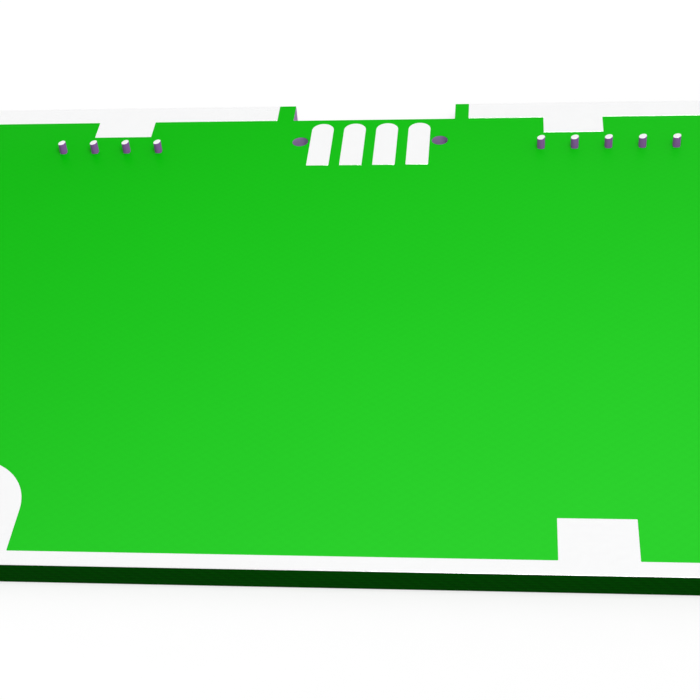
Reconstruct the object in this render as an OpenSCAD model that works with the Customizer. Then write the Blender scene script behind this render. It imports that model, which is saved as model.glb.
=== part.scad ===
// Printed circuit board with a bare tinned border, four connector pads and two rows of short pins.
// Millimetres, +Z up. The origin is the middle of the underside, +X runs along the rear edge
// to the right, and the connector's pads stand in the middle of the length.

/* [Board] */
// Length of the board, left end to right end
board_length = 65; // [60:0.5:100]
// Depth of the board, front edge to rear edge
board_depth = 47.8; // [40:0.1:80]
// Thickness of the glass-fibre laminate
laminate_thickness = 1.56; // [0.8:0.02:3.2]
// Thickness of the coat on top, green mask and bare lands alike
coat_thickness = 0.04; // [0.02:0.01:0.1]

/* [Connector cut-out] */
// Width of the cut-out in the rear edge
cutout_width = 12.84; // [12:0.02:16]
// Place of the cut-out's middle, from the connector's middle
cutout_x = 0.11; // [-0.5:0.01:0.5]
// Depth of the cut-out, from the rear edge
cutout_depth = 2.09; // [1:0.01:4]
// Thickness of the metal plated on the cut-out's walls
plating_thickness = 0.05; // [0.03:0.01:0.1]
// Width of the green tongue left of the cut-out
left_tongue_width = 1.3; // [0.6:0.01:2.5]
// Width of the green tongue right of the cut-out
right_tongue_width = 1.07; // [0.6:0.01:2.5]

/* [Bare border] */
// Width of the border along the front edge
front_border = 1.05; // [0.5:0.05:2.5]
// Width of the border along the two ends
end_border = 1.05; // [0.5:0.05:2.5]
// Width of the border along the rear edge
rear_border = 2.06; // [1:0.01:4]
// Width of the two rear lugs
rear_lug_width = 4.57; // [3:0.01:8]
// How far the rear lugs reach in from the rear border
rear_lug_reach = 2.08; // [1:0.01:4]
// Place of the left rear lug, from the connector's middle
left_rear_lug_x = -19.79; // [-22:0.01:-14]
// Place of the right rear lug, from the connector's middle
right_rear_lug_x = 15.73; // [13:0.01:22]
// Width of the square front lug
front_lug_width = 4.6; // [3:0.05:8]
// How far the square front lug reaches in from the front border
front_lug_reach = 3.14; // [1:0.01:6]
// Place of the square front lug, from the connector's middle
front_lug_x = 15.88; // [10:0.01:22]
// Radius of the round front lug
round_lug_radius = 4.13; // [2.5:0.01:6]
// How far the round front lug's centre lies in from the front border
round_lug_reach = 3.19; // [1:0.01:6]
// Place of the round front lug, from the connector's middle
round_lug_x = -22.52; // [-24:0.01:-12]

/* [Connector pads] */
// Number of connector pads
pad_count = 4; // [2:1:4]
// Pitch of the connector pads
pad_pitch = 2.54; // [2:0.01:3]
// Width of a connector pad
pad_width = 1.73; // [1:0.01:1.9]
// Length of a connector pad, with its round end
pad_length = 5.64; // [3:0.01:9]
// Green left between a pad's round end and the cut-out
pad_setback = 0.52; // [0.3:0.01:2]

/* [Locating holes] */
// Bore of the two locating holes
hole_bore = 1.25; // [0.8:0.05:2]
// Wall of the metal sleeve that lines a locating hole
sleeve_wall = 0.2; // [0.1:0.05:0.4]
// Green left between a locating hole and the pad beside it
hole_gap = 0.15; // [0.1:0.01:1]
// Distance of the locating holes from the cut-out
hole_setback = 2.95; // [1.5:0.01:6]
// Width of the ring round a locating hole, on the underside
hole_ring = 0.5; // [0.2:0.05:1]

/* [Pins] */
// Diameter of a pin above the board
pin_diameter = 0.6; // [0.4:0.02:0.8]
// Width of a pin's square shank inside the board
shank_width = 0.5; // [0.3:0.02:0.56]
// Height of a pin above the board, at its axis
pin_rise = 0.9; // [0.5:0.05:6]
// Slant of the clipped pin ends, in degrees
pin_slant = 12; // [0:1:30]
// Pitch of the pins in a row
pin_pitch = 2.54; // [2.5:0.01:3]
// Number of pins in the left row
left_pin_count = 4; // [1:1:4]
// Number of pins in the right row
right_pin_count = 5; // [1:1:5]
// Place of the left row's middle, from the connector's middle
left_row_x = -20.35; // [-22:0.01:-16]
// Place of the right row's middle, from the connector's middle
right_row_x = 18.28; // [15:0.01:22]
// Distance of the pin rows in front of the rear lugs
pin_lug_gap = 2; // [1:0.05:6]
// Solder between the corners of a pin's shank and the wall of its hole
solder_gap = 0.15; // [0.1:0.01:0.3]
// Width of the solder land round a pin's hole, on the underside
solder_ring = 0.4; // [0.2:0.05:0.6]

/* [Hidden] */
$fn = 96;
cut = 1; // extra length of every cutting shape past the face that it opens
board_thickness = laminate_thickness + coat_thickness;
rear_y = board_depth / 2;
front_y = -board_depth / 2;
tongue_span = cutout_width + left_tongue_width + right_tongue_width;
tongue_x = cutout_x + (right_tongue_width - left_tongue_width) / 2;
cutout_y = rear_y - cutout_depth;
pad_row = (pad_count - 1) * pad_pitch;
pad_front_y = cutout_y - pad_setback - pad_length;
hole_x = (pad_row + pad_width + hole_bore) / 2 + hole_gap;
hole_y = cutout_y - hole_setback;
sleeve_diameter = hole_bore + 2 * sleeve_wall;
sleeve_ring_diameter = sleeve_diameter + 2 * hole_ring;
pin_hole_diameter = sqrt(2) * shank_width + 2 * solder_gap;
solder_ring_diameter = pin_hole_diameter + 2 * solder_ring;
pin_y = rear_y - rear_border - rear_lug_reach - pin_lug_gap;

board_green = [0.0, 0.22, 0.0];
mask_green = [0.12, 0.77, 0.12];
tin_white = [0.94, 0.94, 0.95];
plating_violet = [0.53, 0.41, 0.63];

// Place of copy i of a centred row
function row_x(i, count, pitch) = (i - (count + 1) / 2) * pitch;
function left_pin_x(i) = left_row_x + row_x(i, left_pin_count, pin_pitch);
function right_pin_x(i) = right_row_x + row_x(i, right_pin_count, pin_pitch);
pin_places = [
    for (i = [1:left_pin_count]) left_pin_x(i),
    for (i = [1:right_pin_count]) right_pin_x(i)
];

// Outlines, drawn flat

// Rectangle from one height to another, centred on x
module band(x, width, y0, y1) {
    translate([x - width / 2, y0]) square([width, y1 - y0]);
}

module board_outline() {
    square([board_length, board_depth], center = true);
}

// Cut-out in the rear edge, grown by wall on its three sides and open to the rear
module cutout_outline(wall = 0) {
    band(cutout_x, cutout_width + 2 * wall, cutout_y - wall, rear_y + cut);
}

// Field inside the border, and the part of the rear edge that the two tongues take up
module field_outline() {
    band(0, board_length - 2 * end_border, front_y + front_border, rear_y - rear_border);
    band(tongue_x, tongue_span, front_y + front_border, rear_y);
}

// Lugs of the border, from the board's edge inwards
module lug_outline() {
    round_y = front_y + front_border + round_lug_reach;
    intersection() {
        board_outline();
        union() {
            for (x = [left_rear_lug_x, right_rear_lug_x])
                band(x, rear_lug_width, rear_y - rear_border - rear_lug_reach, rear_y);
            band(front_lug_x, front_lug_width, front_y, front_y + front_border + front_lug_reach);
            band(round_lug_x, 2 * round_lug_radius, front_y, round_y);
            translate([round_lug_x, round_y]) circle(round_lug_radius);
        }
    }
}

// Square front end, half-round rear end
module pad_outline(i) {
    x = row_x(i, pad_count, pad_pitch);
    round_y = pad_front_y + pad_length - pad_width / 2;
    band(x, pad_width, pad_front_y, round_y);
    translate([x, round_y]) circle(d = pad_width);
}

// Shapes that pieces share

// Layer on top of the laminate
module coat() {
    translate([0, 0, laminate_thickness]) linear_extrude(coat_thickness) children();
}

// Hole lining with a flush ring on the underside
module lining(diameter, ring_diameter) {
    cylinder(d = diameter, h = laminate_thickness);
    cylinder(d = ring_diameter, h = coat_thickness);
}

// Room in the laminate for a hole lining
module lining_room(diameter, ring_diameter) {
    translate([0, 0, -cut]) cylinder(d = diameter, h = laminate_thickness + 2 * cut);
    translate([0, 0, -cut]) cylinder(d = ring_diameter, h = coat_thickness + cut);
}

// Straight hole through everything, with the section that is drawn flat
module through_hole() {
    translate([0, 0, -cut]) linear_extrude(board_thickness + 2 * cut) children();
}

// Pieces

module laminate() {
    color(board_green) difference() {
        linear_extrude(laminate_thickness) board_outline();
        translate([0, 0, -cut])
            linear_extrude(laminate_thickness + 2 * cut) cutout_outline(plating_thickness);
        for (x = [-hole_x, hole_x])
            translate([x, hole_y, 0]) lining_room(sleeve_diameter, sleeve_ring_diameter);
        for (x = pin_places)
            translate([x, pin_y, 0]) lining_room(pin_hole_diameter, solder_ring_diameter);
    }
}

module solder_mask() {
    color(mask_green) coat() difference() {
        field_outline();
        lug_outline();
        cutout_outline();
        for (i = [1:pad_count]) pad_outline(i);
        for (x = [-hole_x, hole_x]) translate([x, hole_y]) circle(d = hole_bore);
        for (x = pin_places) translate([x, pin_y]) square(shank_width, center = true);
    }
}

module border_land() {
    color(tin_white) coat() union() {
        difference() {
            board_outline();
            field_outline();
        }
        lug_outline();
    }
}

module cutout_plating() {
    color(plating_violet) linear_extrude(laminate_thickness) intersection() {
        board_outline();
        difference() {
            cutout_outline(plating_thickness);
            cutout_outline();
        }
    }
}

module hole_sleeve(x) {
    color(plating_violet) translate([x, hole_y, 0]) difference() {
        lining(sleeve_diameter, sleeve_ring_diameter);
        through_hole() circle(d = hole_bore);
    }
}

module connector_pad(i) {
    color(tin_white) coat() pad_outline(i);
}

// Square shank in the board, round post above it with its shoulder on the coat and a slanting end
module pin(x) {
    color(plating_violet) translate([x, pin_y, 0]) {
        linear_extrude(board_thickness) square(shank_width, center = true);
        translate([0, 0, board_thickness]) difference() {
            cylinder(d = pin_diameter, h = pin_rise + pin_diameter);
            translate([0, 0, pin_rise]) rotate([0, -pin_slant, 0])
                translate([-pin_diameter, -pin_diameter, 0]) cube(2 * pin_diameter);
        }
    }
}

module solder_joint(x) {
    color(tin_white) translate([x, pin_y, 0]) difference() {
        lining(pin_hole_diameter, solder_ring_diameter);
        through_hole() square(shank_width, center = true);
    }
}

laminate();
solder_mask();
border_land();
cutout_plating();
hole_sleeve(-hole_x);  // left_hole_sleeve
hole_sleeve(hole_x);  // right_hole_sleeve
for (i = [1:pad_count])
    connector_pad(i);
for (i = [1:left_pin_count])
    pin(left_pin_x(i));
for (i = [1:right_pin_count])
    pin(right_pin_x(i));
for (i = [1:left_pin_count])
    solder_joint(left_pin_x(i));
for (i = [1:right_pin_count])
    solder_joint(right_pin_x(i));
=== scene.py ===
"""Looks of a printed circuit board with a bare tinned border, connector lands and two pin rows.

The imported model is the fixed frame. Each piece here stands at the place of the CAD nodes that it
replaces, in metres, with soft edges and a procedural finish, and rides on the board's one body.
Sizes are written in millimetres, as on a board drawing, and turned into metres in the meshes.
"""

import logging
import math
from collections.abc import Mapping, Sequence
from dataclasses import dataclass
from enum import Enum

import bpy
import numpy as np
from mathutils import Matrix, Vector
from mathutils.geometry import delaunay_2d_cdt


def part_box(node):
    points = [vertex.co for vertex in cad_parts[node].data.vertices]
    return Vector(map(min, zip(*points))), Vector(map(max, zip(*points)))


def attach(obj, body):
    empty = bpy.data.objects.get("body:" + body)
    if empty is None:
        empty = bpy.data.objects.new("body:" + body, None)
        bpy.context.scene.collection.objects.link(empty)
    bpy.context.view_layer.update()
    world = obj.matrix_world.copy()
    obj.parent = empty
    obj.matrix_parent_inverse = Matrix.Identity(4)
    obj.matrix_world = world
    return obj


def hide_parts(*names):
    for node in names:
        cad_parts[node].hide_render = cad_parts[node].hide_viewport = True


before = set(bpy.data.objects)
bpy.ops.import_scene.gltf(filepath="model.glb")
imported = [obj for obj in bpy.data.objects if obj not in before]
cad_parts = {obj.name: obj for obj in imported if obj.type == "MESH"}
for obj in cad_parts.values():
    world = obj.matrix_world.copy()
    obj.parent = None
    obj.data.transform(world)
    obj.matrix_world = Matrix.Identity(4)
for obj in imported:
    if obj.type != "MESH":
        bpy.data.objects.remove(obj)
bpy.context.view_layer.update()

MM = 0.001
BODY = "root"
CUT_FACE = "cut_face"
WHITE = (1.0, 1.0, 1.0)
SMOOTH_LIMIT = math.radians(40)  # faces that meet at less than this share a smooth edge
CORNER_LIMIT = math.radians(20)  # corners that turn less than this stay as they are
CORNER_SHARE = 0.4  # how much of its shorter side a rounded corner may take
SHARPEST = 0.004  # least radius of a rounded corner
JOIN_LIMIT = 1e-7  # points of a cap that lie nearer than this are one
ENCLOSED = 1  # the triangulation keeps what its edges enclose
SQUARENESS = 12  # power of the curve that a square shank's section follows
EASE = 0.3  # how far in the middle of a softened edge lies, as a share of its size

Point = tuple[float, float]
Colour = tuple[float, float, float]

log = logging.getLogger("circuit_board")


# Shader maths and node trees

class Signal:
    """An output socket of a node tree that takes part in Python expressions."""

    def __init__(self, graph: "Graph", socket: bpy.types.NodeSocket) -> None:
        """Keep the tree and the socket together."""
        self.graph = graph
        self.socket = socket

    def _math(self, operation: str, *others: "Signal | float") -> "Signal":
        """Add a Math node on this value and others, in that order."""
        return self.graph.math(operation, self, *others)

    def __add__(self, other: "Signal | float") -> "Signal":
        """Sum of the two values."""
        return self._math("ADD", other)

    def __radd__(self, other: float) -> "Signal":
        """Sum of the two values."""
        return self._math("ADD", other)

    def __sub__(self, other: "Signal | float") -> "Signal":
        """Difference of the two values."""
        return self._math("SUBTRACT", other)

    def __rsub__(self, other: float) -> "Signal":
        """Difference of the two values, this one taken away."""
        return self.graph.math("SUBTRACT", other, self)

    def __mul__(self, other: "Signal | float") -> "Signal":
        """Product of the two values."""
        return self._math("MULTIPLY", other)

    def __rmul__(self, other: float) -> "Signal":
        """Product of the two values."""
        return self._math("MULTIPLY", other)

    def __truediv__(self, other: "Signal | float") -> "Signal":
        """Quotient of the two values."""
        return self._math("DIVIDE", other)

    def __rtruediv__(self, other: float) -> "Signal":
        """Quotient of the two values, this one below the line."""
        return self.graph.math("DIVIDE", other, self)

    def __pow__(self, other: "Signal | float") -> "Signal":
        """This value to a power."""
        return self._math("POWER", other)

    def absolute(self) -> "Signal":
        """Size of the value without its sign."""
        return self._math("ABSOLUTE")

    def sine(self) -> "Signal":
        """Sine of the value in radians."""
        return self._math("SINE")

    def floor(self) -> "Signal":
        """Whole number below the value."""
        return self._math("FLOOR")

    def maximum(self, other: "Signal | float") -> "Signal":
        """Larger of the two values."""
        return self._math("MAXIMUM", other)

    def minimum(self, other: "Signal | float") -> "Signal":
        """Smaller of the two values."""
        return self._math("MINIMUM", other)

    def step(self, low: float, high: float) -> "Signal":
        """Smooth step from 0 at low to 1 at high.

        Args:
            low: Value at and below which the result is 0.
            high: Value at and above which the result is 1.

        Returns:
            The stepped value.
        """
        settings = {"interpolation_type": "SMOOTHSTEP"}
        sockets = {"Value": self, "From Min": low, "From Max": high}
        return self.graph.add("ShaderNodeMapRange", settings, sockets)[0]


class Graph:
    """A node tree that is filled from Python expressions."""

    def __init__(self, tree: bpy.types.NodeTree) -> None:
        """Take an empty tree, or clear one."""
        self.tree = tree
        self.tree.nodes.clear()

    def add(
        self,
        kind: str,
        settings: Mapping[str, object] | None = None,
        sockets: Mapping[str | int, object] | None = None,
    ) -> list[Signal]:
        """Add one node.

        Args:
            kind: The node's type name.
            settings: Properties of the node, set before its sockets.
            sockets: Values or signals of its inputs, by name or number.

        Returns:
            The node's outputs in order.
        """
        node = self.tree.nodes.new(kind)
        for name, value in (settings or {}).items():
            setattr(node, name, value)
        for key, value in (sockets or {}).items():
            if isinstance(value, Signal):
                self.tree.links.new(value.socket, node.inputs[key])
            else:
                node.inputs[key].default_value = value
        return [Signal(self, socket) for socket in node.outputs]

    def math(self, operation: str, *values: Signal | float) -> Signal:
        """Add a Math node.

        Args:
            operation: What the node does.
            values: Its inputs in order.

        Returns:
            The result.
        """
        return self.add("ShaderNodeMath", {"operation": operation}, dict(enumerate(values)))[0]

    def rays(self) -> tuple[Signal, Signal]:
        """Tell the rays that show a surface from those that only light it.

        Returns:
            1 for rays from the camera, also through glass, and 1 for mirrored rays.
        """
        path = self.add("ShaderNodeLightPath")
        straight, mirrored, through = path[0], path[3], path[6]
        return straight.maximum(through), mirrored


class SurfaceGraph(Graph):
    """The node tree of one material, with the places of its surface in millimetres."""

    def __init__(self, name: str) -> None:
        """Make the material and the place coordinates that its patterns read."""
        self.material = bpy.data.materials.new(name)
        self.material.use_nodes = True
        super().__init__(self.material.node_tree)
        coordinates = self.add("ShaderNodeTexCoord")
        self.normal, objects = coordinates[1], coordinates[3]
        self.place = self.scaled(objects, 1 / MM)

    def scaled(self, vector: Signal | Colour, factor: Signal | float) -> Signal:
        """Vector or colour times a number."""
        sockets = {0: vector, "Scale": factor}
        return self.add("ShaderNodeVectorMath", {"operation": "SCALE"}, sockets)[0]

    def axes(self, vector: Signal) -> list[Signal]:
        """X, Y and Z of a vector."""
        return self.add("ShaderNodeSeparateXYZ", None, {0: vector})

    def noise(self, vector: Signal, scale: float, detail: float = 2.0) -> Signal:
        """Cloudy noise from 0 to 1.

        Args:
            vector: Where it is read.
            scale: Clouds in each unit of the vector.
            detail: Octaves of finer clouds.

        Returns:
            The noise value.
        """
        sockets = {"Vector": vector, "Scale": scale, "Detail": detail}
        return self.add("ShaderNodeTexNoise", {"noise_dimensions": "3D"}, sockets)[0]

    def marks(self, mark: "ToolMark", detail: float = 2.0) -> Signal:
        """Noise drawn out along the marks of a tool.

        Args:
            mark: The tool's marks.
            detail: Octaves of finer marks.

        Returns:
            The noise value.
        """
        sockets = {0: self.place, 1: mark.value}
        drawn = self.add("ShaderNodeVectorMath", {"operation": "MULTIPLY"}, sockets)[0]
        return self.noise(drawn, 1.0, detail)

    def grains(self, vector: Signal, scale: float) -> Signal:
        """Random value from 0 to 1 for each crystal grain.

        Args:
            vector: Where it is read.
            scale: Grains in each unit of the vector.

        Returns:
            The grain's value.
        """
        settings = {"voronoi_dimensions": "3D", "feature": "F1"}
        colour = self.add("ShaderNodeTexVoronoi", settings, {"Vector": vector, "Scale": scale})[1]
        return self.axes(colour)[0]

    def mixed(self, share: Signal, first: Signal | Colour, second: Signal | Colour) -> Signal:
        """Blend of two colours.

        Args:
            share: How much of the second colour shows, 0 to 1.
            first: Colour where the share is 0.
            second: Colour where the share is 1.

        Returns:
            The blended colour.
        """
        ends = [c if isinstance(c, Signal) else (*c, 1.0) for c in (first, second)]
        sockets = {0: share, 6: ends[0], 7: ends[1]}
        return self.add("ShaderNodeMix", {"data_type": "RGBA"}, sockets)[2]

    def bump(self, height: Signal, depth_mm: float) -> Signal:
        """Normal of a finely uneven surface.

        Args:
            height: Height from 0 to 1.
            depth_mm: Depth in millimetres that a height of 1 stands for.

        Returns:
            The bent normal.
        """
        return self.add("ShaderNodeBump", None, {"Distance": depth_mm * MM, "Height": height})[0]

    def surface(self, sockets: Mapping[str | int, object]) -> bpy.types.Material:
        """Close the tree with one surface shader.

        Args:
            sockets: Values and signals of the shader's inputs.

        Returns:
            The finished material.
        """
        shader = self.add("ShaderNodeBsdfPrincipled", None, sockets)[0]
        self.add("ShaderNodeOutputMaterial", None, {"Surface": shader})
        return self.material


# Finishes

class ToolMark(Enum):
    """How a metal surface was made, as the stretch of its marks along x, y and z."""

    DRILLED = (1.5, 1.5, 26.0)
    ROUTED = (14.0, 14.0, 1.2)
    DRAWN = (22.0, 22.0, 0.9)
    SHEARED = (5.0, 30.0, 5.0)


@dataclass(frozen=True)
class MaskFinish:
    """Bright green solder mask with a painted sheen that pales it toward the front right, with
    orange peel and a hint of weave.
    """

    name: str = "solder_mask_coat"
    # Green of the coat without and with the painted sheen, a painted highlight that pales it toward
    # the front right.
    green_without_sheen: Colour = (0.0002, 0.580, 0.0006)
    green_with_painted_sheen: Colour = (0.0206, 0.580, 0.0213)
    # Painted sheen per millimetre to the right and to the rear; the rear share is negative, so the
    # sheen grows toward the front.
    painted_sheen_to_right: float = 0.0064
    painted_sheen_to_rear: float = -0.020
    clouds_per_mm: float = 0.07
    cloud_share: float = 0.05
    grains_per_mm: float = 2.6
    grain_share: float = 0.03
    grain_gloss: float = 0.16
    warp_mm: float = 0.84
    weft_mm: float = 0.62
    weave_share: float = 0.012
    weave_relief: float = 0.12
    peels_per_mm: float = 1.3
    peel_depth_mm: float = 0.003
    roughness: float = 0.40
    gloss_level: float = 0.045

    def material(self) -> bpy.types.Material:
        """Build the material.

        Returns:
            The coat's material.
        """
        graph = SurfaceGraph(self.name)
        x, y, _ = graph.axes(graph.place)
        weave = (x * (math.tau / self.warp_mm)).sine() * (y * (math.tau / self.weft_mm)).sine()
        cloud = graph.noise(graph.place, self.clouds_per_mm) - 0.5
        grain = graph.noise(graph.place, self.grains_per_mm, detail=3) - 0.5
        peel = graph.noise(graph.place, self.peels_per_mm, detail=1)
        tone = 1 + cloud * self.cloud_share + grain * self.grain_share + weave * self.weave_share
        # Painted sheen: light painted into the coat's green, paler toward the front right.
        painted_sheen = x * self.painted_sheen_to_right + y * self.painted_sheen_to_rear + 0.5
        coat = graph.mixed(painted_sheen, self.green_without_sheen, self.green_with_painted_sheen)
        return graph.surface({
            "Base Color": graph.scaled(coat, tone),
            "Roughness": self.roughness + grain * self.grain_gloss,
            "Specular IOR Level": self.gloss_level,
            "Normal": graph.bump(peel + weave * self.weave_relief, self.peel_depth_mm),
        })


@dataclass(frozen=True)
class LaminateFinish:
    """Dark green glass-fibre laminate: plies and rout marks on its edges, weave on its faces."""

    name: str = "glass_fibre_laminate"
    resin: Colour = (0.0002, 0.060, 0.0003)
    fibre: Colour = (0.0006, 0.101, 0.0008)
    edge_slope: Point = (0.35, 0.75)
    ply_mm: float = 0.217
    ply_tone: float = 0.42
    ply_share: float = 0.34
    ply_shift: float = 2.1
    ply_relief: float = 0.12
    yarn_mm: float = 0.74
    yarn_share: float = 0.22
    thread_share: float = 0.35
    rout_share: float = 0.5
    rout_relief: float = 0.8
    specks_per_mm: float = 9.0
    speck_limits: Point = (0.60, 0.74)
    speck_share: float = 0.25
    speck_gloss: float = 0.12
    mark_depth_mm: float = 0.012
    roughness: float = 0.62
    gloss_level: float = 0.01

    def material(self) -> bpy.types.Material:
        """Build the material.

        Returns:
            The board's material.
        """
        graph = SurfaceGraph(self.name)
        x, y, z = graph.axes(graph.place)
        edge = 1 - graph.axes(graph.normal)[2].absolute().step(*self.edge_slope)
        ply = z / self.ply_mm
        layer = (ply * math.tau).sine()
        along = (x + y) * (math.tau / self.yarn_mm) + ply.floor() * self.ply_shift
        plies = layer * self.ply_share + along.sine() * self.yarn_share + self.ply_tone
        pick = math.tau / (2 * self.yarn_mm)
        cloth = (x * pick).sine() * (y * pick).sine() * 0.5 + 0.5
        rout = graph.marks(ToolMark.ROUTED)
        speck = graph.noise(graph.place, self.specks_per_mm).step(*self.speck_limits)
        thread = edge * plies.minimum(1.0).maximum(0.0) + (1 - edge) * cloth
        share = thread * (self.thread_share + rout * self.rout_share) + speck * self.speck_share
        sawn = rout * self.rout_relief + layer * self.ply_relief
        return graph.surface({
            "Base Color": graph.mixed(share, self.resin, self.fibre),
            "Roughness": self.roughness + speck * self.speck_gloss,
            "Specular IOR Level": self.gloss_level,
            "Normal": graph.bump(edge * sawn + (1 - edge) * cloth, self.mark_depth_mm),
        })


@dataclass(frozen=True)
class TinFinish:
    """Levelled tin on a bare land: near white, faintly grained, with slow ripples."""

    name: str = "levelled_tin"
    colour: Colour = (0.966, 0.968, 0.971)
    shade_share: float = 0.036
    ripples_per_mm: float = 0.75
    ripple_shade: float = 0.55
    ripple_depth_mm: float = 0.010
    grains_per_mm: float = 3.2
    grain_shade: float = 0.25
    grain_gloss: float = 0.06
    pits_per_mm: float = 14.0
    pit_shade: float = 0.2
    pit_gloss: float = 0.10
    pit_relief: float = 0.06
    roughness: float = 0.17
    metallic: float = 0.94

    def material(self) -> bpy.types.Material:
        """Build the material.

        Returns:
            The tin's material.
        """
        graph = SurfaceGraph(self.name)
        ripple = graph.noise(graph.place, self.ripples_per_mm)
        grain = graph.grains(graph.place, self.grains_per_mm)
        pit = graph.noise(graph.place, self.pits_per_mm)
        shade = ripple * self.ripple_shade + grain * self.grain_shade + pit * self.pit_shade
        return graph.surface({
            "Base Color": graph.scaled(self.colour, 1 - shade * self.shade_share),
            "Metallic": self.metallic,
            "Roughness": self.roughness + grain * self.grain_gloss + (pit - 0.5) * self.pit_gloss,
            "Normal": graph.bump(ripple + pit * self.pit_relief, self.ripple_depth_mm),
        })


@dataclass(frozen=True)
class PlatingFinish:
    """Violet-grey plated metal with the marks of the tool that made the wall."""

    name: str
    mark: ToolMark
    colour: Colour = (0.31, 0.13, 0.43)
    mark_share: float = 0.30
    mark_gloss: float = 0.3
    mark_depth_mm: float = 0.006
    stains_per_mm: float = 1.8
    stain_share: float = 0.2
    roughness: float = 0.46
    metallic: float = 0.15
    gloss_level: float = 0.12

    def material(self) -> bpy.types.Material:
        """Build the material.

        Returns:
            The wall's material.
        """
        graph = SurfaceGraph(self.name)
        mark = graph.marks(self.mark, detail=3)
        stain = graph.noise(graph.place, self.stains_per_mm)
        tone = 1 + (mark - 0.5) * self.mark_share + (stain - 0.5) * self.stain_share
        return graph.surface({
            "Base Color": graph.scaled(self.colour, tone),
            "Metallic": self.metallic,
            "Roughness": self.roughness + (mark - 0.5) * self.mark_gloss,
            "Specular IOR Level": self.gloss_level,
            "Normal": graph.bump(mark, self.mark_depth_mm),
        })


@dataclass(frozen=True)
class PinFinish:
    """Violet-grey drawn wire whose clipped ends show bright metal with shear lines."""

    name: str = "drawn_pin_wire"
    colour: Colour = (0.375, 0.122, 0.515)
    drawn_share: float = 0.35
    drawn_gloss: float = 0.25
    clipped: Colour = (0.97, 0.97, 0.975)
    clipped_gloss: float = 0.08
    clipped_metallic: float = 0.94
    shear_share: float = 0.07
    shear_relief: float = 0.6
    mark_depth_mm: float = 0.005
    roughness: float = 0.44
    metallic: float = 0.12
    gloss_level: float = 0.12

    def material(self) -> bpy.types.Material:
        """Build the material.

        Returns:
            The pins' material.
        """
        graph = SurfaceGraph(self.name)
        settings = {"attribute_type": "GEOMETRY", "attribute_name": CUT_FACE}
        cut = graph.add("ShaderNodeAttribute", settings)[2]
        drawn = graph.marks(ToolMark.DRAWN, detail=3)
        shear = graph.marks(ToolMark.SHEARED)
        side = graph.scaled(self.colour, 1 + (drawn - 0.5) * self.drawn_share)
        end = graph.scaled(self.clipped, 1 - shear * self.shear_share)
        height = drawn * (1 - cut) + shear * cut * self.shear_relief
        dull = self.roughness + (drawn - 0.5) * self.drawn_gloss
        return graph.surface({
            "Base Color": graph.mixed(cut, side, end),
            "Metallic": self.metallic + cut * (self.clipped_metallic - self.metallic),
            "Roughness": dull - cut * self.clipped_gloss,
            "Specular IOR Level": self.gloss_level,
            "Normal": graph.bump(height, self.mark_depth_mm),
        })


@dataclass(frozen=True)
class FloorFinish:
    """Plain white floor that keeps the object's shadow and fades evenly to the horizon."""

    name: str = "white_floor"
    albedo: float = 0.5
    white: float = 1.03
    mottles_per_mm: float = 0.4
    mottle_share: float = 0.02
    roughness: float = 0.9

    def material(self, lamp: "KeyLamp", ambient: float) -> bpy.types.Material:
        """Build the material.

        Args:
            lamp: The lamp over the object, whose fall-off the floor evens out.
            ambient: Light level of the surroundings on an open surface.

        Returns:
            The floor's material.
        """
        graph = SurfaceGraph(self.name)
        x, y, _ = graph.axes(graph.place)
        lamp_x, lamp_y, height = lamp.place_mm
        reach = (x - lamp_x) ** 2 + (y - lamp_y) ** 2 + height * height
        level = ambient + lamp.level_at_foot * height ** 3 / reach ** 1.5
        shown, mirrored = graph.rays()
        glow = (self.white - self.albedo * level) * shown.maximum(mirrored)
        mottle = graph.noise(graph.place, self.mottles_per_mm) - 0.5
        return graph.surface({
            "Base Color": graph.scaled(WHITE, self.albedo * (1 + mottle * self.mottle_share)),
            "Roughness": self.roughness,
            "Specular IOR Level": 0.0,
            "Emission Color": graph.scaled(WHITE, glow),
            "Emission Strength": 1.0,
        })


# Flat outlines, in millimetres

def arc(centre: Point, radius: float, start: float, end: float, steps: int) -> list[Point]:
    """Points on an arc.

    Args:
        centre: Middle of the arc.
        radius: Its radius.
        start: First angle in degrees.
        end: Last angle in degrees; smaller than start for a clockwise arc.
        steps: Number of chords.

    Returns:
        The points, both ends among them.
    """
    angles = np.radians(np.linspace(start, end, steps + 1))
    return [(centre[0] + radius * math.cos(a), centre[1] + radius * math.sin(a)) for a in angles]


def circle(centre: Point, radius: float, steps: int = 64) -> list[Point]:
    """Points of a full circle, clockwise, as the edge of an opening."""
    return arc(centre, radius, 360.0, 360.0 / steps, steps - 1)


def square_line(centre: Point, width: float) -> list[Point]:
    """Corners of a square, clockwise, as the edge of an opening."""
    (x, y), half = centre, width / 2
    return [(x - half, y - half), (x - half, y + half), (x + half, y + half), (x + half, y - half)]


def rounded(line: np.ndarray, left: float, right: float, steps: int = 4) -> np.ndarray:
    """Round off the corners of a closed line.

    Args:
        line: Points as an array of two columns.
        left: Radius of the corners that turn left, less where their sides are short.
        right: Radius of the corners that turn right, less where their sides are short.
        steps: Number of chords in a corner.

    Returns:
        The points with every sharp corner replaced by an arc.
    """
    made: list[Point] = []
    for index, point in enumerate(line):
        here = Vector(point)
        before = Vector(line[index - 1]) - here
        after = Vector(line[(index + 1) % len(line)]) - here
        turn = math.pi - before.angle(after)
        if turn < CORNER_LIMIT:
            made.append(tuple(point))
            continue
        radius = left if before.x * after.y - before.y * after.x < 0 else right
        size = min(radius, CORNER_SHARE * min(before.length, after.length) / math.tan(turn / 2))
        before, after = before.normalized(), after.normalized()
        middle = here + (before + after).normalized() * (size / math.cos(turn / 2))
        first = here + before * (size * math.tan(turn / 2)) - middle
        last = here + after * (size * math.tan(turn / 2)) - middle
        for share in np.linspace(0.0, 1.0, steps + 1):
            spread = first * math.sin((1 - share) * turn) + last * math.sin(share * turn)
            made.append(tuple(middle + spread / math.sin(turn)))
    return np.array(made)


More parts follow.
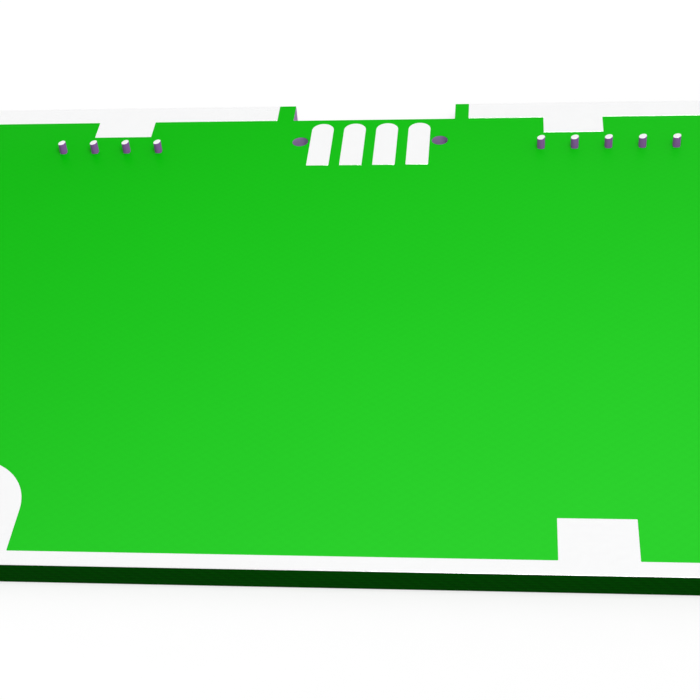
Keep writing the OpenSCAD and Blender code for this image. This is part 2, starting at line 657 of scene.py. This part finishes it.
def moved_in(line: np.ndarray, distance: float) -> np.ndarray:
    """Closed line moved to its left, which is into the material.

    Args:
        line: Points as an array of two columns.
        distance: How far it moves.

    Returns:
        The moved points.
    """
    step = np.roll(line, -1, axis=0) - line
    step /= np.linalg.norm(step, axis=1)[:, None]
    side = np.column_stack([-step[:, 1], step[:, 0]])
    earlier = np.roll(side, 1, axis=0)
    mitre = (side + earlier) / (1 + np.sum(side * earlier, axis=1))[:, None]
    return line + mitre * distance


def quarter_round(radius: float, height: float, steps: int = 3) -> list[Point]:
    """Section of a rounded top edge.

    Args:
        radius: Radius of the edge.
        height: Height of the top face.
        steps: Number of chords.

    Returns:
        Pairs of inset and height, from the wall to the top face.
    """
    angles = [math.pi / 2 * step / steps for step in range(steps + 1)]
    return [(radius * (1 - math.cos(a)), height - radius * (1 - math.sin(a))) for a in angles]


# Meshes

@dataclass(frozen=True)
class Rim:
    """One closed edge of a plate: its line, with the material on the left, and its section."""

    line: Sequence[Point]
    section: Sequence[Point]
    corner: float = 0.0

    def ring(self, inset: float, height: float) -> np.ndarray:
        """Points of the edge at one step of its section.

        Args:
            inset: Distance from the line into the material.
            height: Height of the step.

        Returns:
            The points as an array of three columns.
        """
        flat = moved_in(np.array(self.line, float), inset)
        if self.corner:
            flat = rounded(flat, max(self.corner - inset, SHARPEST), self.corner + inset)
        return np.column_stack([flat, np.full(len(flat), height)])


class MeshMaker:
    """Collects points and faces in millimetres and makes a mesh in metres from them."""

    def __init__(self) -> None:
        """Start with nothing."""
        self.points: list[tuple[float, float, float]] = []
        self.faces: list[tuple[int, ...]] = []
        self.flat: list[bool] = []
        self.cut: list[float] = []

    def ring(self, points: np.ndarray, cut: float = 0.0) -> list[int]:
        """Add a ring of points.

        Args:
            points: The points as an array of three columns.
            cut: Share of a cut face in the finish at this ring.

        Returns:
            Numbers of the points.
        """
        first = len(self.points)
        self.points.extend(map(tuple, points))
        self.cut.extend([cut] * len(points))
        return list(range(first, len(self.points)))

    def face(self, corners: Sequence[int], upwards: bool) -> None:
        """Add one flat face whose corners are given anticlockwise, seen from above."""
        self.faces.append(tuple(corners if upwards else reversed(corners)))
        self.flat.append(True)

    def wall(self, rings: Sequence[Sequence[int]]) -> None:
        """Join rings of equal length, in their order, with bands of smooth faces.

        Args:
            rings: Numbers of the points of each ring.
        """
        for lower, upper in zip(rings, rings[1:]):
            for index in range(len(lower)):
                after = (index + 1) % len(lower)
                self.faces.append((lower[index], lower[after], upper[after], upper[index]))
                self.flat.append(False)

    def cap(self, rings: Sequence[Sequence[int]], upwards: bool) -> None:
        """Close the area between rings at one height with flat triangles.

        Args:
            rings: The outer ring and the rings of the openings in it.
            upwards: Whether the faces look up.
        """
        numbers = [number for ring in rings for number in ring]
        places = [Vector(self.points[number][:2]) for number in numbers]
        edges, start = [], 0
        for ring in rings:
            count = len(ring)
            edges += [(start + i, start + (i + 1) % count) for i in range(count)]
            start += count
        triangulated = delaunay_2d_cdt(places, edges, [], ENCLOSED, JOIN_LIMIT)
        spots, _, triangles, sources = triangulated[:4]
        ends = np.array([[*places[a], *places[b]] for a, b in edges])
        for corners in triangles:
            middle = sum((spots[c] for c in corners), Vector((0.0, 0.0))) / len(corners)
            if inside(ends, middle):
                self.face([numbers[sources[c][0]] for c in corners], upwards)

    def plate(self, rims: Sequence[Rim]) -> "MeshMaker":
        """Add a plate with soft edges.

        Args:
            rims: Its outer edge and the edges of its openings.

        Returns:
            The maker itself.
        """
        lows, highs = [], []
        for rim in rims:
            rings = [self.ring(rim.ring(inset, height)) for inset, height in rim.section]
            self.wall(rings)
            lows.append(rings[0])
            highs.append(rings[-1])
        self.cap(lows, upwards=False)
        self.cap(highs, upwards=True)
        return self

    def sleeve(self, rings: Sequence[np.ndarray]) -> "MeshMaker":
        """Add a tube from rings that run once round its section.

        Args:
            rings: Points of each ring as an array of three columns.

        Returns:
            The maker itself.
        """
        numbers = [self.ring(ring) for ring in rings]
        self.wall([*numbers, numbers[0]])
        return self

    def mesh(self, name: str) -> bpy.types.Mesh:
        """Make the mesh.

        Args:
            name: Its name.

        Returns:
            The mesh, with smooth walls, flat faces and sharp corners.
        """
        made = bpy.data.meshes.new(name)
        made.from_pydata((np.array(self.points) * MM).tolist(), [], self.faces)
        if any(self.cut):
            share = made.attributes.new(CUT_FACE, "FLOAT", "POINT")
            share.data.foreach_set("value", self.cut)
        made.validate()
        made.update()
        made.set_sharp_from_angle(angle=SMOOTH_LIMIT)
        made.polygons.foreach_set("use_smooth", [not flat for flat in self.flat])
        return made


def inside(ends: np.ndarray, point: Vector) -> bool:
    """Whether a point lies inside closed lines, by counting the edges to its right.

    Args:
        ends: Both ends of every edge, as an array of four columns.
        point: The point.

    Returns:
        True where the count is odd.
    """
    x0, y0, x1, y1 = ends.T
    crossed = (y0 > point.y) != (y1 > point.y)
    with np.errstate(divide="ignore", invalid="ignore"):
        at = x0 + (point.y - y0) * (x1 - x0) / (y1 - y0)
    return bool(np.count_nonzero(crossed & (at > point.x)) % 2)


def round_ring(radius: float, height: float, count: int) -> np.ndarray:
    """Ring of points on a circle round the z axis.

    Args:
        radius: Radius of the circle.
        height: Height of the ring.
        count: Number of points.

    Returns:
        The points as an array of three columns.
    """
    angle = np.arange(count) * math.tau / count
    return np.column_stack([
        radius * np.cos(angle), radius * np.sin(angle), np.full(count, height)
    ])


def square_ring(width: float, height: float, count: int) -> np.ndarray:
    """Ring of points on a square round the z axis, with slightly rounded corners.

    Args:
        width: Width of the square.
        height: Height of the ring.
        count: Number of points.

    Returns:
        The points as an array of three columns.
    """
    ring = round_ring(1.0, height, count)
    size = (np.abs(ring[:, :2]) ** SQUARENESS).sum(axis=1) ** (1 / SQUARENESS)
    ring[:, :2] *= (width / 2 / size)[:, None]
    return ring


@dataclass(frozen=True)
class Row:
    """Place of a row of like pieces, read from the CAD nodes that it stands for, in metres."""

    nodes: tuple[str, ...]

    @property
    def count(self) -> int:
        """Number of pieces."""
        return len(self.nodes)

    def middle(self, index: int) -> Vector:
        """Middle of one node's box."""
        low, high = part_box(self.nodes[index])
        return (low + high) / 2

    @property
    def pitch(self) -> float:
        """Distance from one piece to the next."""
        return (self.middle(-1).x - self.middle(0).x) / max(1, self.count - 1)

    @property
    def start(self) -> tuple[float, float, float]:
        """Place of the first piece on the underside's plane."""
        first = self.middle(0)
        return (first.x, first.y, 0.0)

    def places_mm(self) -> list[Point]:
        """Places of all pieces on the board, in millimetres."""
        middles = [self.middle(index) / MM for index in range(self.count)]
        return [(middle.x, middle.y) for middle in middles]


def numbered_row(stem: str) -> Row:
    """Row of the CAD nodes whose names are a stem and a number, in the order of the numbers."""
    found = [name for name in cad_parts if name.startswith(stem)]
    return Row(tuple(sorted(found, key=lambda name: int(name[len(stem):]))))


class RowTree:
    """Geometry Nodes tree that sets copies of one piece out in a straight row."""

    INPUTS = {
        "Piece": "NodeSocketGeometry",
        "Count": "NodeSocketInt",
        "Pitch": "NodeSocketFloat",
        "Start": "NodeSocketVector",
        "Finish": "NodeSocketMaterial",
    }

    def __init__(self) -> None:
        """Build the tree."""
        tree = bpy.data.node_groups.new("straight_row", "GeometryNodeTree")
        graph = Graph(tree)
        for name, kind in self.INPUTS.items():
            tree.interface.new_socket(name=name, in_out="INPUT", socket_type=kind)
        tree.interface.new_socket(name="Row", in_out="OUTPUT", socket_type="NodeSocketGeometry")
        piece, count, pitch, start, finish = graph.add("NodeGroupInput")[:5]
        offset = graph.add("ShaderNodeCombineXYZ", None, {"X": pitch})[0]
        line = graph.add(
            "GeometryNodeMeshLine",
            {"mode": "OFFSET", "count_mode": "TOTAL"},
            {"Count": count, "Start Location": start, "Offset": offset},
        )[0]
        copies = graph.add(
            "GeometryNodeInstanceOnPoints", None, {"Points": line, "Instance": piece}
        )[0]
        solid = graph.add("GeometryNodeRealizeInstances", None, {"Geometry": copies})[0]
        sockets = {"Geometry": solid, "Material": finish}
        dressed = graph.add("GeometryNodeSetMaterial", None, sockets)[0]
        graph.add("NodeGroupOutput", None, {0: dressed})
        self.tree = tree

    def lay_out(
        self, name: str, mesh: bpy.types.Mesh, row: Row, finish: bpy.types.Material
    ) -> bpy.types.Object:
        """Set copies of a mesh out and keep the result as a plain mesh.

        Args:
            name: Name of the piece.
            mesh: One copy, standing at the origin of its row place.
            row: Where the copies go.
            finish: Their material.

        Returns:
            The piece, at the origin, with no modifier left on it.
        """
        piece = bpy.data.objects.new(name, mesh)
        bpy.context.scene.collection.objects.link(piece)
        modifier = piece.modifiers.new("row", "NODES")
        modifier.node_group = self.tree
        values = {"Count": row.count, "Pitch": row.pitch, "Start": row.start, "Finish": finish}
        for item in self.tree.interface.items_tree:
            if item.in_out == "INPUT" and item.name in values:
                modifier[item.identifier] = values[item.name]
        depsgraph = bpy.context.evaluated_depsgraph_get()
        made = bpy.data.meshes.new_from_object(
            piece.evaluated_get(depsgraph), preserve_all_data_layers=True, depsgraph=depsgraph
        )
        piece.modifiers.clear()
        piece.data = made
        made.name = name
        return piece


# Pieces

@dataclass(frozen=True)
class BoardSizes:
    """Sizes of the board and its lands in millimetres and degrees, as in the part's source."""

    length: float = 65.0
    depth: float = 47.8
    laminate: float = 1.56
    coat: float = 0.04
    cutout_left: float = -6.31
    cutout_right: float = 6.53
    cutout_depth: float = 2.09
    plating: float = 0.05
    left_tongue: float = 1.3
    right_tongue: float = 1.07
    front_border: float = 1.05
    end_border: float = 1.05
    rear_border: float = 2.06
    rear_lug_width: float = 4.57
    rear_lug_reach: float = 2.08
    left_rear_lug: float = -19.79
    right_rear_lug: float = 15.73
    front_lug_width: float = 4.6
    front_lug_reach: float = 3.14
    front_lug: float = 15.88
    round_lug_radius: float = 4.13
    round_lug_reach: float = 3.19
    round_lug: float = -22.52
    pad_width: float = 1.73
    pad_length: float = 5.64
    hole_bore: float = 1.25
    sleeve_wall: float = 0.2
    hole_ring: float = 0.5
    shank: float = 0.5
    pin_diameter: float = 0.6
    pin_rise: float = 0.9
    pin_slant: float = 12.0
    solder_gap: float = 0.15
    solder_ring: float = 0.4
    corner: float = 0.05
    soft_edge: float = 0.02
    lug_chords: int = 72
    pad_chords: int = 32

    @property
    def top(self) -> float:
        """Height of the coat's face."""
        return self.laminate + self.coat

    @property
    def rear(self) -> float:
        """Y of the rear edge; the front edge is at minus this."""
        return self.depth / 2

    @property
    def cutout_y(self) -> float:
        """Y of the cut-out's wall."""
        return self.rear - self.cutout_depth

    @property
    def pin_hole(self) -> float:
        """Radius of the hole that a pin is soldered in."""
        return math.sqrt(2) * self.shank / 2 + self.solder_gap

    @property
    def sleeve(self) -> float:
        """Outer radius of a locating hole's sleeve."""
        return self.hole_bore / 2 + self.sleeve_wall

    def coat_section(self, crown: Sequence[Point] = ()) -> list[Point]:
        """Section of the edge of the mask or a land, from the laminate up.

        Args:
            crown: Pairs of inset and rise of the tin over the coat's face.

        Returns:
            Pairs of inset and height.
        """
        crowned = [(inset, self.top + rise) for inset, rise in crown]
        return [(0.0, self.laminate), *quarter_round(self.soft_edge, self.top), *crowned]

    def cutout_line(self, wall: float = 0.0) -> list[Point]:
        """Walls of the cut-out, from the right end round to the left one.

        Args:
            wall: How far they lie outside the cut-out.

        Returns:
            The points.
        """
        left, right, low = self.cutout_left - wall, self.cutout_right + wall, self.cutout_y - wall
        return [(right, self.rear), (right, low), (left, low), (left, self.rear)]

    def field_edge(self) -> list[Point]:
        """Edge between mask and border, from the right tongue round the front to the left one.

        Returns:
            The points, clockwise seen from above.
        """
        side = self.length / 2 - self.end_border
        low, high = -self.rear + self.front_border, self.rear - self.rear_border
        first, last = self.cutout_right + self.right_tongue, self.cutout_left - self.left_tongue
        lug_low, rear_half = high - self.rear_lug_reach, self.rear_lug_width / 2
        front_half, round_y = self.front_lug_width / 2, low + self.round_lug_reach
        left, right, front = self.left_rear_lug, self.right_rear_lug, self.front_lug
        bend = arc((self.round_lug, round_y), self.round_lug_radius, 0.0, 180.0, self.lug_chords)
        return [
            (first, self.rear), (first, high),
            (right - rear_half, high), (right - rear_half, lug_low),
            (right + rear_half, lug_low), (right + rear_half, high),
            (side, high), (side, low),
            (front + front_half, low), (front + front_half, low + self.front_lug_reach),
            (front - front_half, low + self.front_lug_reach), (front - front_half, low),
            (self.round_lug + self.round_lug_radius, low), *bend,
            (self.round_lug - self.round_lug_radius, low),
            (-side, low), (-side, high),
            (left - rear_half, high), (left - rear_half, lug_low),
            (left + rear_half, lug_low), (left + rear_half, high),
            (last, high), (last, self.rear),
        ]

    def pad_line(self, middle: Point) -> list[Point]:
        """Edge of a connector land, anticlockwise, square in front and half round behind.

        Args:
            middle: Middle of the land.

        Returns:
            The points.
        """
        x, y = middle
        half, low = self.pad_width / 2, y - self.pad_length / 2
        bend = arc((x, low + self.pad_length - half), half, 0.0, 180.0, self.pad_chords)
        return [(x - half, low), (x + half, low), *bend]


@dataclass
class Piece:
    """What every sub-assembly of the board shares."""

    sizes: BoardSizes

    def keep(self, piece: bpy.types.Object, slot: str, nodes: Sequence[str]) -> None:
        """Seat a finished piece in the frame.

        Args:
            piece: The piece, at the origin.
            slot: The piece's material slot; not used.
            nodes: CAD nodes that it stands for.
        """
        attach(piece, BODY)
        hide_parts(*nodes)
        log.info("%s stands for %s, %d faces", piece.name, nodes, len(piece.data.polygons))

    @staticmethod
    def single(
        name: str, mesh: bpy.types.Mesh, finish: bpy.types.Material
    ) -> bpy.types.Object:
        """Make a piece of one mesh.

        Args:
            name: Name of the piece.
            mesh: Its mesh, in place.
            finish: Its material.

        Returns:
            The piece, at the origin.
        """
        mesh.materials.append(finish)
        piece = bpy.data.objects.new(name, mesh)
        bpy.context.scene.collection.objects.link(piece)
        return piece


@dataclass
class Laminate(Piece):
    """The routed board, with its edges broken and stepped holes for the linings."""

    broken_edge: float = 0.04

    def build(self, holes: Row, joints: Sequence[Row]) -> bpy.types.Mesh:
        """Build the board.

        Args:
            holes: Locating holes.
            joints: Rows of solder joints that it has holes for.

        Returns:
            The mesh.
        """
        sizes = self.sizes
        half = sizes.length / 2
        line = [(-half, -sizes.rear), (half, -sizes.rear), (half, sizes.rear)]
        line += [*sizes.cutout_line(sizes.plating), (-half, sizes.rear)]
        upper = quarter_round(self.broken_edge, sizes.laminate)
        lower = [(inset, sizes.laminate - height) for inset, height in reversed(upper)]
        rims = [Rim(line, [*lower, (0.0, sizes.laminate)], sizes.corner)]
        rims += self.stepped(holes, sizes.sleeve, sizes.hole_ring)
        for row in joints:
            rims += self.stepped(row, sizes.pin_hole, sizes.solder_ring)
        return MeshMaker().plate(rims).mesh("laminate_board")

    def stepped(self, row: Row, radius: float, ring: float) -> list[Rim]:
        """Holes with a shallow seat for a ring on the underside.

        Args:
            row: Where the holes are.
            radius: Radius of a hole.
            ring: Width of the seat round it.

        Returns:
            One rim for each hole.
        """
        sizes = self.sizes
        section = [(ring, 0.0), (ring, sizes.coat), (0.0, sizes.coat), (0.0, sizes.laminate)]
        return [Rim(circle(place, radius), section) for place in row.places_mm()]

    def dress(self, holes: Row, joints: Sequence[Row], finish: LaminateFinish) -> None:
        """Build the board and give it its finish."""
        piece = self.single("laminate_board", self.build(holes, joints), finish.material())
        self.keep(piece, "laminate", ["laminate"])


@dataclass
class MaskCoat(Piece):
    """The green coat, open over the lands, holes and pins."""

    def build(self, pads: Row, holes: Row, pins: Sequence[Row]) -> bpy.types.Mesh:
        """Build the coat.

        Args:
            pads: Connector lands that stay bare.
            holes: Locating holes.
            pins: Pin rows that come through.

        Returns:
            The mesh.
        """
        sizes = self.sizes
        outer = sizes.field_edge()[::-1] + sizes.cutout_line()
        section = sizes.coat_section()
        plain = [(0.0, sizes.laminate), (0.0, sizes.top)]
        rims = [Rim(outer, section, sizes.corner)]
        rims += [Rim(sizes.pad_line(p)[::-1], section, sizes.corner) for p in pads.places_mm()]
        rims += [Rim(circle(p, sizes.hole_bore / 2), section) for p in holes.places_mm()]
        for row in pins:
            rims += [Rim(square_line(p, sizes.shank), plain) for p in row.places_mm()]
        return MeshMaker().plate(rims).mesh("mask_coat")

    def dress(self, pads: Row, holes: Row, pins: Sequence[Row], finish: MaskFinish) -> None:
        """Build the coat and give it its finish."""
        piece = self.single("mask_coat", self.build(pads, holes, pins), finish.material())
        self.keep(piece, "solder_mask", ["solder_mask"])


@dataclass
class TinnedBorder(Piece):
    """The bare land along the edges, with its lugs, softly crowned by the tin on it."""

    crown: Sequence[Point] = ((0.06, 0.001), (0.16, 0.004), (0.32, 0.006))

    def build(self) -> bpy.types.Mesh:
        """Build the land.

        Returns:
            The mesh.
        """
        sizes = self.sizes
        half = sizes.length / 2
        line = sizes.field_edge()
        line += [(-half, sizes.rear), (-half, -sizes.rear), (half, -sizes.rear), (half, sizes.rear)]
        rim = Rim(line, sizes.coat_section(self.crown), sizes.corner)
        return MeshMaker().plate([rim]).mesh("tinned_border")

    def dress(self, tin: bpy.types.Material) -> None:
        """Build the land and give it its tin."""
        piece = self.single("tinned_border", self.build(), tin)
        self.keep(piece, "tinned_land", ["border_land"])


@dataclass
class ConnectorLands(Piece):
    """The four tinned lands of the connector, each with a low crown."""

    row: Row = numbered_row("connector_pad_")
    crown: Sequence[Point] = ((0.08, 0.003), (0.22, 0.008), (0.42, 0.012), (0.66, 0.014))

    def build(self) -> bpy.types.Mesh:
        """Build one land at the origin.

        Returns:
            The mesh.
        """
        sizes = self.sizes
        rim = Rim(sizes.pad_line((0.0, 0.0)), sizes.coat_section(self.crown), sizes.corner)
        return MeshMaker().plate([rim]).mesh("connector_land")

    def dress(self, rows: RowTree, tin: bpy.types.Material) -> None:
        """Lay the lands out and give them their tin."""
        piece = rows.lay_out("connector_lands", self.build(), self.row, tin)
        self.keep(piece, "tinned_land", self.row.nodes)


@dataclass
class HoleLinings(Piece):
    """The plated sleeves of the two locating holes."""

    row: Row = Row(("left_hole_sleeve", "right_hole_sleeve"))
    segments: int = 64
    lip: float = 0.03

    def build(self) -> bpy.types.Mesh:
        """Build one sleeve at the origin.

        Returns:
            The mesh.
        """
        sizes = self.sizes
        bore, ring = sizes.hole_bore / 2, sizes.sleeve + sizes.hole_ring
        soft = self.lip * EASE
        section = [
            (sizes.sleeve, sizes.laminate), (bore, sizes.laminate), (bore, self.lip),
            (bore + soft, soft), (bore + self.lip, 0.0), (ring - self.lip, 0.0),
            (ring - soft, soft), (ring, self.lip), (ring, sizes.coat), (sizes.sleeve, sizes.coat),
        ]
        rings = [round_ring(radius, height, self.segments) for radius, height in section]
        return MeshMaker().sleeve(rings).mesh("hole_lining")

    def dress(self, rows: RowTree, finish: PlatingFinish) -> None:
        """Lay the sleeves out and give them their plating."""
        piece = rows.lay_out("hole_linings", self.build(), self.row, finish.material())
        self.keep(piece, "plating", self.row.nodes)


@dataclass
class CutoutLining(Piece):
    """The plated walls of the connector's cut-out."""

    soft_edge: float = 0.0125

    def build(self) -> bpy.types.Mesh:
        """Build the lining.

        Returns:
            The mesh.
        """
        sizes = self.sizes
        line = sizes.cutout_line(sizes.plating)[::-1] + sizes.cutout_line()
        soft, eased = self.soft_edge, self.soft_edge * EASE
        section = [(soft, 0.0), (eased, eased), (0.0, soft), (0.0, sizes.laminate)]
        return MeshMaker().plate([Rim(line, section)]).mesh("cutout_lining")

    def dress(self, finish: PlatingFinish) -> None:
        """Build the lining and give it its plating."""
        piece = self.single("cutout_lining", self.build(), finish.material())
        self.keep(piece, "plating", ["cutout_plating"])


class Side(Enum):
    """Which end of the rear edge a row stands at."""

    LEFT = "left"
    RIGHT = "right"

    def row(self, kind: str) -> Row:
        """Row of the CAD nodes of one kind, such as pin, at this side."""
        return numbered_row(f"{self.value}_{kind}_")


@dataclass
class PinRow(Piece):
    """A row of short pins with square shanks, round posts and slanting clipped ends."""

    side: Side = Side.LEFT
    segments: int = 48
    chamfer: float = 0.02
    foot: float = 0.015
    # Rings of the clipped end: share of the radius, height and share of bright metal
    clipped: Sequence[tuple[float, float, float]] = (
        (1.0, -0.05, 0.0), (0.985, -0.02, 0.0), (0.94, -0.004, 1.0),
        (0.88, 0.0, 1.0), (0.60, -0.006, 1.0), (0.30, -0.009, 1.0),
    )

    def build(self) -> bpy.types.Mesh:
        """Build one pin at the origin.

        Returns:
            The mesh.
        """
        sizes = self.sizes
        maker, count, radius = MeshMaker(), self.segments, sizes.pin_diameter / 2
        rings = [
            maker.ring(square_ring(sizes.shank - 2 * self.chamfer, 0.0, count), cut=1.0),
            maker.ring(square_ring(sizes.shank, self.chamfer, count)),
            maker.ring(square_ring(sizes.shank, sizes.top, count)),
            maker.ring(round_ring(radius - self.foot, sizes.top, count)),
            maker.ring(round_ring(radius, sizes.top + self.foot, count)),
        ]
        slope = math.tan(math.radians(sizes.pin_slant))
        for share, height, cut in self.clipped:
            ring = round_ring(radius * share, sizes.top + sizes.pin_rise + height, count)
            ring[:, 2] += ring[:, 0] * slope
            rings.append(maker.ring(ring, cut))
        maker.wall(rings)
        maker.face(rings[0], upwards=False)
        maker.face(rings[-1], upwards=True)
        return maker.mesh("clipped_pin")

    def dress(self, rows: RowTree, wire: bpy.types.Material) -> None:
        """Lay the pins out and give them their wire finish."""
        row = self.side.row("pin")
        piece = rows.lay_out(f"{self.side.value}_pin_row", self.build(), row, wire)
        self.keep(piece, "pin", row.nodes)


@dataclass
class SolderRow(Piece):
    """The tin that fills the holes round a row of pins, with its rings on the underside."""

    side: Side = Side.LEFT
    segments: int = 48
    hollow: float = 0.012
    collar: float = 0.03
    collar_height: float = 0.004
    lip: Sequence[Point] = ((0.05, 0.001), (0.015, 0.005), (0.0, 0.02))

    def build(self) -> bpy.types.Mesh:
        """Build one joint at the origin.

        Returns:
            The mesh.
        """
        sizes = self.sizes
        count, collar = self.segments, sizes.shank + 2 * self.collar
        outer, hole = sizes.pin_hole + sizes.solder_ring, sizes.pin_hole
        rings = [
            round_ring(hole, sizes.laminate, count),
            square_ring(sizes.shank, sizes.laminate, count),
            square_ring(sizes.shank, self.collar_height, count),
            square_ring(collar, self.collar_height, count),
            round_ring((outer + sizes.shank / 2) / 2, self.hollow, count),
            *(round_ring(outer - inset, height, count) for inset, height in self.lip),
            round_ring(outer, sizes.coat, count),
            round_ring(hole, sizes.coat, count),
        ]
        return MeshMaker().sleeve(rings).mesh("solder_joint")

    def dress(self, rows: RowTree, tin: bpy.types.Material) -> None:
        """Lay the joints out and give them their tin."""
        row = self.side.row("solder")
        piece = rows.lay_out(f"{self.side.value}_solder_row", self.build(), row, tin)
        self.keep(piece, "tinned_land", row.nodes)


# Studio

@dataclass(frozen=True)
class KeyLamp:
    """A round soft lamp over the front right of the board."""

    place_mm: tuple[float, float, float] = (20.0, -34.3, 101.6)
    radius_mm: float = 30.0
    level_at_foot: float = 0.70

    @property
    def watts(self) -> float:
        """Power that gives the level on the floor straight below."""
        height = self.place_mm[2] * MM
        return self.level_at_foot * 4 * math.pi ** 2 * height * height

    def build(self) -> None:
        """Hang the lamp."""
        lamp = bpy.data.lights.new("key_lamp", "POINT")
        lamp.energy = self.watts
        lamp.shadow_soft_size = self.radius_mm * MM
        hung = bpy.data.objects.new("key_lamp", lamp)
        hung.location = Vector(self.place_mm) * MM
        hung.visible_camera = False
        bpy.context.scene.collection.objects.link(hung)


@dataclass(frozen=True)
class Camera:
    """The photograph's camera, in the row frame."""

    place_mm: tuple[float, float, float] = (10.71, -77.33, 67.02)
    azimuth: float = 8.1427
    elevation: float = 41.975
    roll: float = -5.2839
    lens_mm: float = 76.47
    sensor_mm: float = 36.0
    nearest_m: float = 0.002
    farthest_m: float = 20.0

    def build(self) -> None:
        """Set the camera up and make it the scene's own."""
        turn, rise, lean = map(math.radians, (self.azimuth, self.elevation, self.roll))
        back = Vector((
            math.sin(turn) * math.cos(rise), -math.cos(turn) * math.cos(rise), math.sin(rise)
        ))
        level = Vector((math.cos(turn), math.sin(turn), 0.0))
        steep = back.cross(level)
        right = level * math.cos(lean) + steep * math.sin(lean)
        data = bpy.data.cameras.new("photo_camera")
        data.sensor_width, data.lens = self.sensor_mm, self.lens_mm
        data.clip_start, data.clip_end = self.nearest_m, self.farthest_m
        camera = bpy.data.objects.new("photo_camera", data)
        axes = Matrix((right, back.cross(right), back)).transposed()
        camera.matrix_world = Matrix.LocRotScale(
            Vector(self.place_mm) * MM, axes.to_quaternion(), None
        )
        bpy.context.scene.collection.objects.link(camera)
        bpy.context.scene.camera = camera


@dataclass(frozen=True)
class Studio:
    """White floor, soft white surroundings, one lamp and the camera."""

    lamp: KeyLamp = KeyLamp()
    camera: Camera = Camera()
    floor: FloorFinish = FloorFinish()
    ambient: float = 0.44
    from_right: float = 0.8
    overhead: float = 0.72
    overhead_limits: Point = (0.84, 0.98)
    floor_reach_m: float = 4.0
    floor_drop_m: float = 0.00002

    def surroundings(self) -> None:
        """Light the scene softly, most from the right, with white behind it and in its metal."""
        world = bpy.data.worlds.new("white_room")
        world.use_nodes = True
        graph = Graph(world.node_tree)
        direction = graph.add("ShaderNodeTexCoord")[0]
        across, _, up = graph.add("ShaderNodeSeparateXYZ", None, {0: direction})
        shown, mirrored = graph.rays()
        reflected = 1 - up.step(*self.overhead_limits) * (1 - self.overhead)
        soft = self.ambient * (1 + across * self.from_right)
        level = soft + (reflected - soft) * mirrored.maximum(shown)
        level = level + (1 - level) * shown
        sockets = {"Color": (*WHITE, 1.0), "Strength": level}
        light = graph.add("ShaderNodeBackground", None, sockets)[0]
        graph.add("ShaderNodeOutputWorld", None, {"Surface": light})
        bpy.context.scene.world = world

    def ground(self) -> None:
        """Lay the floor under the board."""
        reach = self.floor_reach_m
        corners = [(-reach, -reach), (reach, -reach), (reach, reach), (-reach, reach)]
        mesh = bpy.data.meshes.new("floor")
        mesh.from_pydata([(*corner, -self.floor_drop_m) for corner in corners], [], [(0, 1, 2, 3)])
        mesh.materials.append(self.floor.material(self.lamp, self.ambient))
        floor = bpy.data.objects.new("floor", mesh)
        bpy.context.scene.collection.objects.link(floor)

    def build(self) -> None:
        """Set up everything that isn't part of the object."""
        bpy.context.scene.view_settings.view_transform = "Standard"
        self.surroundings()
        self.ground()
        self.lamp.build()
        self.camera.build()


def main() -> None:
    """Build and dress the board, then the studio round it."""
    logging.basicConfig(level=logging.INFO, format="%(name)s: %(message)s")
    sizes, rows = BoardSizes(), RowTree()
    tin, wire = TinFinish().material(), PinFinish().material()
    joints = [side.row("solder") for side in Side]
    pins = [side.row("pin") for side in Side]
    # Plating of the locating holes, painted lighter than the cut-out's to offset the shade inside
    # the holes: painted light.
    drilled_painted_lighter = PlatingFinish("drilled_plating_painted_lighter", ToolMark.DRILLED, colour=(0.45, 0.335, 0.57))
    routed = PlatingFinish("routed_plating", ToolMark.ROUTED)

    lands, holes = ConnectorLands(sizes), HoleLinings(sizes)
    Laminate(sizes).dress(holes.row, joints, LaminateFinish())
    MaskCoat(sizes).dress(lands.row, holes.row, pins, MaskFinish())
    TinnedBorder(sizes).dress(tin)
    lands.dress(rows, tin)
    holes.dress(rows, drilled_painted_lighter)
    CutoutLining(sizes).dress(routed)
    for side in Side:
        PinRow(sizes, side=side).dress(rows, wire)
        SolderRow(sizes, side=side).dress(rows, tin)
    Studio().build()


if __name__ == "__main__":
    main()
